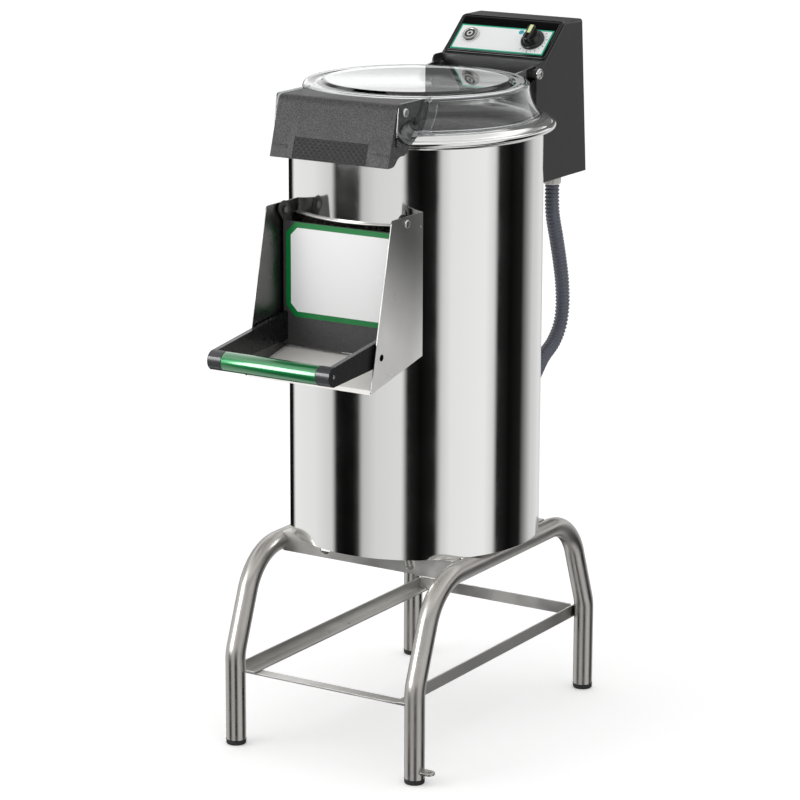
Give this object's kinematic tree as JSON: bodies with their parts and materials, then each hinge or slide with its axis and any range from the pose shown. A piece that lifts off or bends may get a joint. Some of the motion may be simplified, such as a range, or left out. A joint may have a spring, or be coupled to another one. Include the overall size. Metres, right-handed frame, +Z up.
{
  "type": "electric potato peeler",
  "caption": "Floor-standing electric potato peeler: steel drum on a tube stand, clear lid with clamping hood, side chute with swinging door, rear control box.",
  "frame": {"origin": "on the floor, in the middle of the machine's width and depth", "axes": "+Z up, -Y towards the discharge chute at the front, +X to the right seen from the front"},
  "size_m": [0.4374, 0.803, 1.1101],
  "materials": {
    "polished_stainless": "mirror-polished stainless sheet",
    "brushed_stainless": "brushed stainless sheet",
    "tube_stainless": "satin stainless tube",
    "black_plastic": "satin black",
    "grey_plastic": "grained dark grey",
    "box_grey": "grained charcoal",
    "clear_cover": "clear moulded polycarbonate",
    "handle_green": "glossy green tube",
    "white_film": "printed film",
    "button_white": "smooth",
    "abrasive": "coarse abrasive coating",
    "cast_metal": "as cast",
    "bearing_steel": "ground",
    "shaft_steel": "turned",
    "rubber": "matt",
    "motor_paint": "painted casting",
    "conduit_grey": "ribbed",
    "gland_grey": "smooth",
    "brass_fitting": "turned"
  },
  "bodies": {
    "peeler": {"stand_tube_left": "tube_stainless", "stand_tube_right": "tube_stainless", "foot_front_left": "black_plastic", "foot_front_right": "black_plastic", "foot_rear_left": "black_plastic", "foot_rear_right": "black_plastic", "stand_beam_front": "brushed_stainless", "stand_beam_rear": "brushed_stainless", "shelf_angle_left": "brushed_stainless", "shelf_angle_right": "brushed_stainless", "shelf_bar_rear": "brushed_stainless", "shelf_bar_front": "brushed_stainless", "drum_shell": "polished_stainless", "drum_collar": "polished_stainless", "abrasive_liner": "abrasive", "chamber_floor": "brushed_stainless", "bearing_housing": "cast_metal", "bearing_upper": "bearing_steel", "bearing_lower": "bearing_steel", "shaft_seal": "rubber", "bottom_cover": "brushed_stainless", "drain_pipe": "brushed_stainless", "water_inlet": "brass_fitting", "motor_body": "motor_paint", "motor_bracket": "brushed_stainless", "drive_belt": "rubber", "chute_plate_left": "brushed_stainless", "chute_plate_right": "brushed_stainless", "chute_floor": "brushed_stainless", "control_box": "box_grey", "box_back_cover": "box_grey", "box_mount": "brushed_stainless", "panel_bezel": "black_plastic", "panel_plate": "white_film", "button_collar": "bearing_steel", "timer_body": "black_plastic", "lid_sensor": "black_plastic", "conduit": "conduit_grey", "conduit_gland_top": "gland_grey", "conduit_gland_bottom": "gland_grey", "mains_gland": "gland_grey"},
    "disc": {"main_shaft": "shaft_steel", "peeling_disc": "abrasive", "driven_pulley": "cast_metal"},
    "rotor": {"motor_rotor": "shaft_steel", "motor_pulley": "cast_metal"},
    "lid": {"lid_dome": "clear_cover", "lid_hinge_arm_left": "brushed_stainless", "lid_hinge_arm_right": "brushed_stainless", "latch_bracket_left": "clear_cover", "latch_bracket_right": "clear_cover"},
    "latch": {"latch_hood": "grey_plastic"},
    "door": {"door_panel": "grey_plastic", "door_label": "white_film", "handle_arm_left": "grey_plastic", "handle_arm_right": "grey_plastic", "handle_tube": "handle_green"},
    "timer": {"timer_knob": "black_plastic"},
    "button": {"start_button": "button_white"}
  },
  "joints": [
    {"name": "disc_spin", "type": "hinge", "parent": "peeler", "child": "disc", "pos_m": [0, 0.01707, 0.6603], "axis": [0, 0, 1], "continuous": true},
    {"name": "rotor_spin", "type": "hinge", "parent": "peeler", "child": "rotor", "pos_m": [0, 0.15207, 0.532], "axis": [0, 0, 1], "continuous": true},
    {"name": "lid_hinge", "type": "hinge", "parent": "peeler", "child": "lid", "pos_m": [0, 0.23257, 1.0346], "axis": [-1, 0, 0], "range_deg": [0, 95]},
    {"name": "latch_hinge", "type": "hinge", "parent": "lid", "child": "latch", "pos_m": [0, -0.19343, 1.0291], "axis": [-1, 0, 0], "range_deg": [0, 18]},
    {"name": "door_hinge", "type": "hinge", "parent": "peeler", "child": "door", "pos_m": [0, -0.19493, 0.8613], "axis": [-1, 0, 0], "range_deg": [0, 80]},
    {"name": "timer_turn", "type": "hinge", "parent": "peeler", "child": "timer", "pos_m": [0.057, 0.28426, 1.07736], "axis": [0, 0.647, -0.7625], "range_deg": [0, 300]},
    {"name": "start_press", "type": "slide", "parent": "peeler", "child": "button", "axis": [0, 0.647, -0.7625], "range_m": [0, 0.003], "stiffness_N_per_m": 150, "springref_m": -0.001}
  ],
  "couplings": [
    {"joint": "rotor_spin", "follows": "disc_spin", "ratio": 3}
  ]
}
